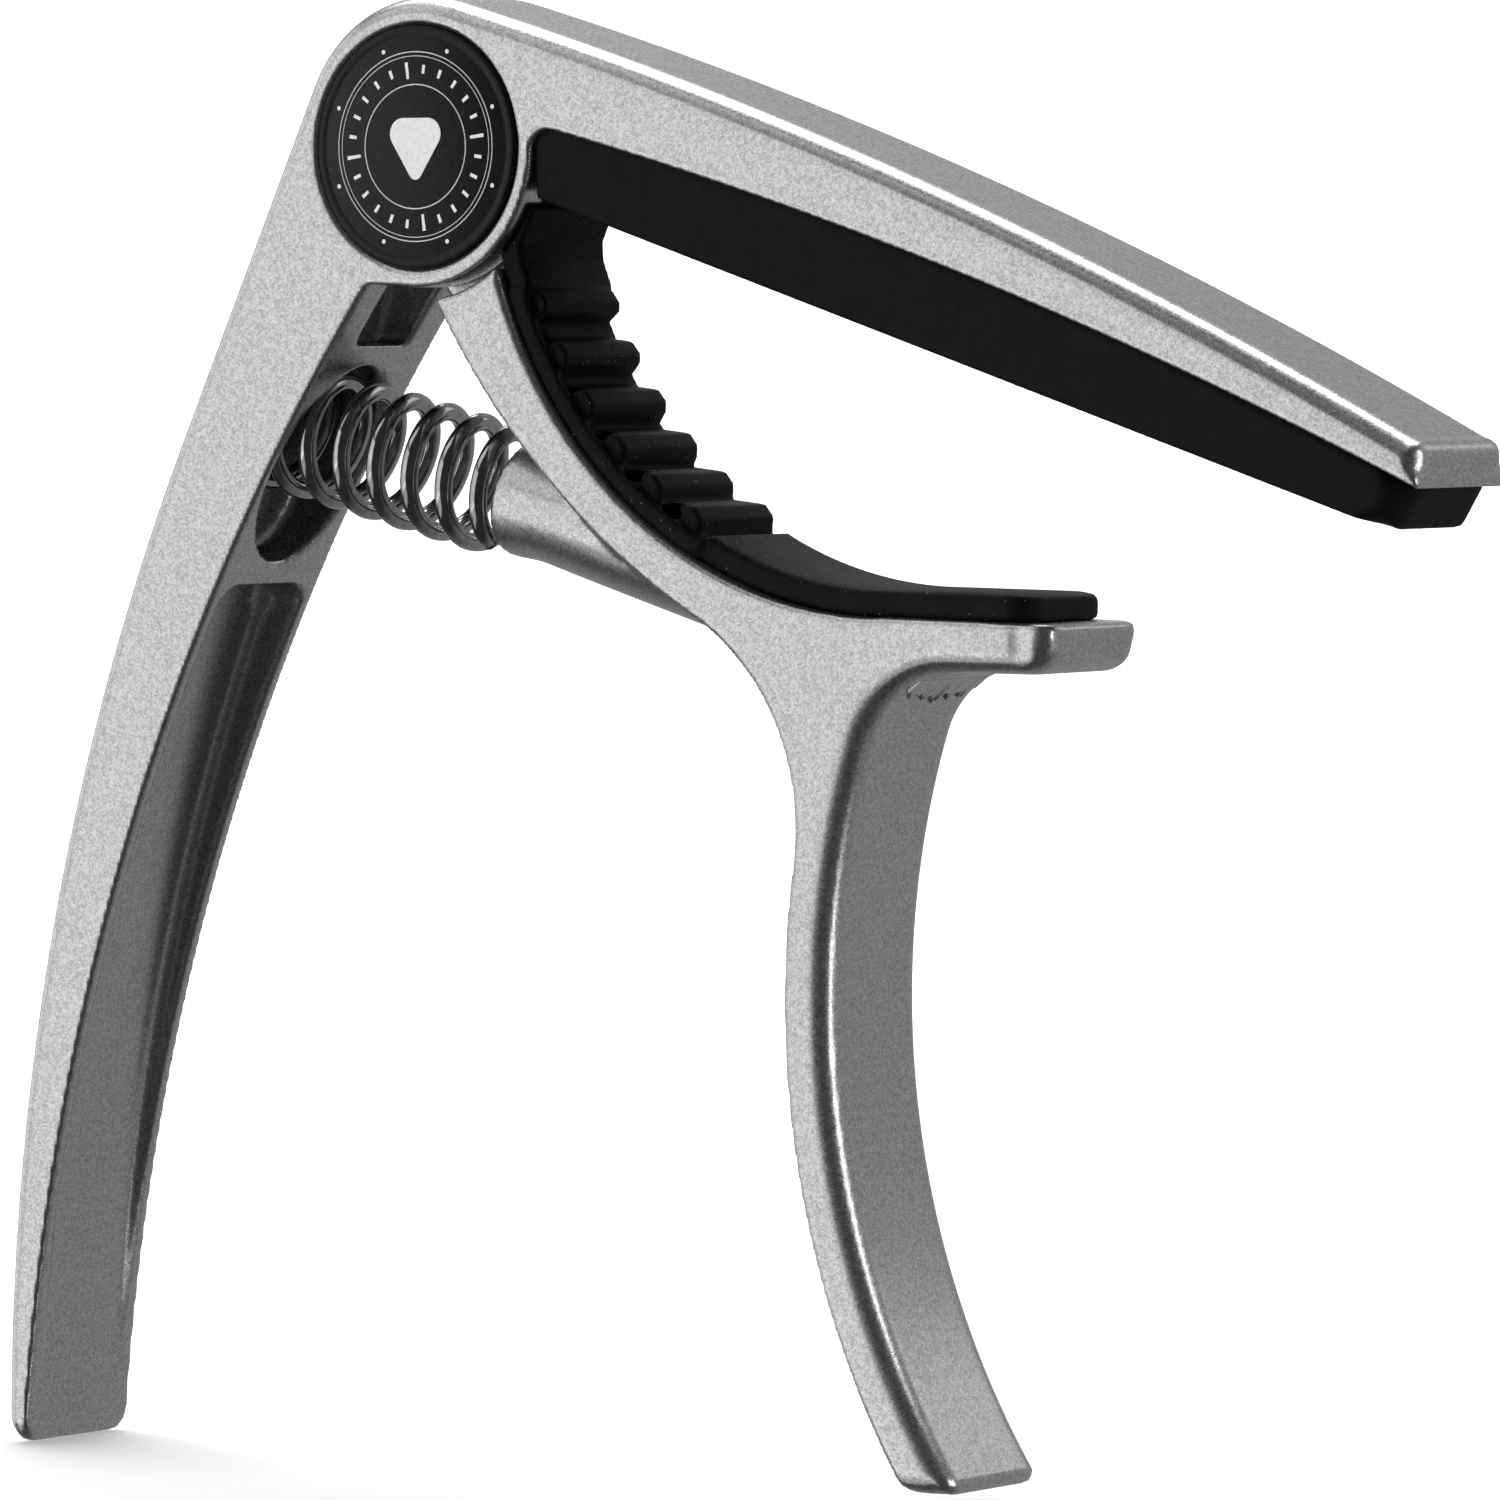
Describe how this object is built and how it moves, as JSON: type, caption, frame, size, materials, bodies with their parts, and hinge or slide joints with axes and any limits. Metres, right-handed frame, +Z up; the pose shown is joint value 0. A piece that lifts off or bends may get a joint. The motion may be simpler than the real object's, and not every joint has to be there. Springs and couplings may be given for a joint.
{
  "type": "guitar capo",
  "caption": "Spring clamp capo: a straight rubber-faced string bar and a curved rubber-lined jaw hinged at a round hub, with two curved grip handles and a coil spring between them.",
  "frame": {"origin": "bottom centre of the capo's box: below the middle, level with the lowest point of the rear handle", "axes": "+X along the string bar from the hub to its free end, +Y through the thickness along the hinge axis, +Z up with the handles hanging down"},
  "size_m": [0.0968, 0.01, 0.0849],
  "materials": {
    "casting": "satin silver metallic paint on a die casting",
    "rubber": "matte black moulded rubber",
    "spring_steel": "polished dark spring steel",
    "badge": "fine-textured black with a thin silver print",
    "adhesive": "double-sided film",
    "pin_steel": "turned, zinc plated",
    "bush": "turned",
    "washer": "natural nylon"
  },
  "bodies": {
    "upper_arm": {"upper_arm": "casting", "string_pad": "rubber", "spring": "spring_steel", "front_badge": "badge", "rear_badge": "badge", "front_badge_adhesive": "adhesive", "rear_badge_adhesive": "adhesive", "pivot_barrel": "pin_steel", "pivot_screw": "pin_steel"},
    "lower_arm": {"lower_arm": "casting", "neck_cushion": "rubber", "pivot_bush": "bush", "front_thrust_washer": "washer", "rear_thrust_washer": "washer"}
  },
  "joints": [
    {"name": "jaw_hinge", "type": "hinge", "parent": "upper_arm", "child": "lower_arm", "pos_m": [-0.01807, 0, 0.07633], "axis": [0, 1, 0], "range_deg": [0, 18], "stiffness_Nm_per_rad": 1.7, "springref_deg": -17.19, "deforming": ["spring"]}
  ]
}
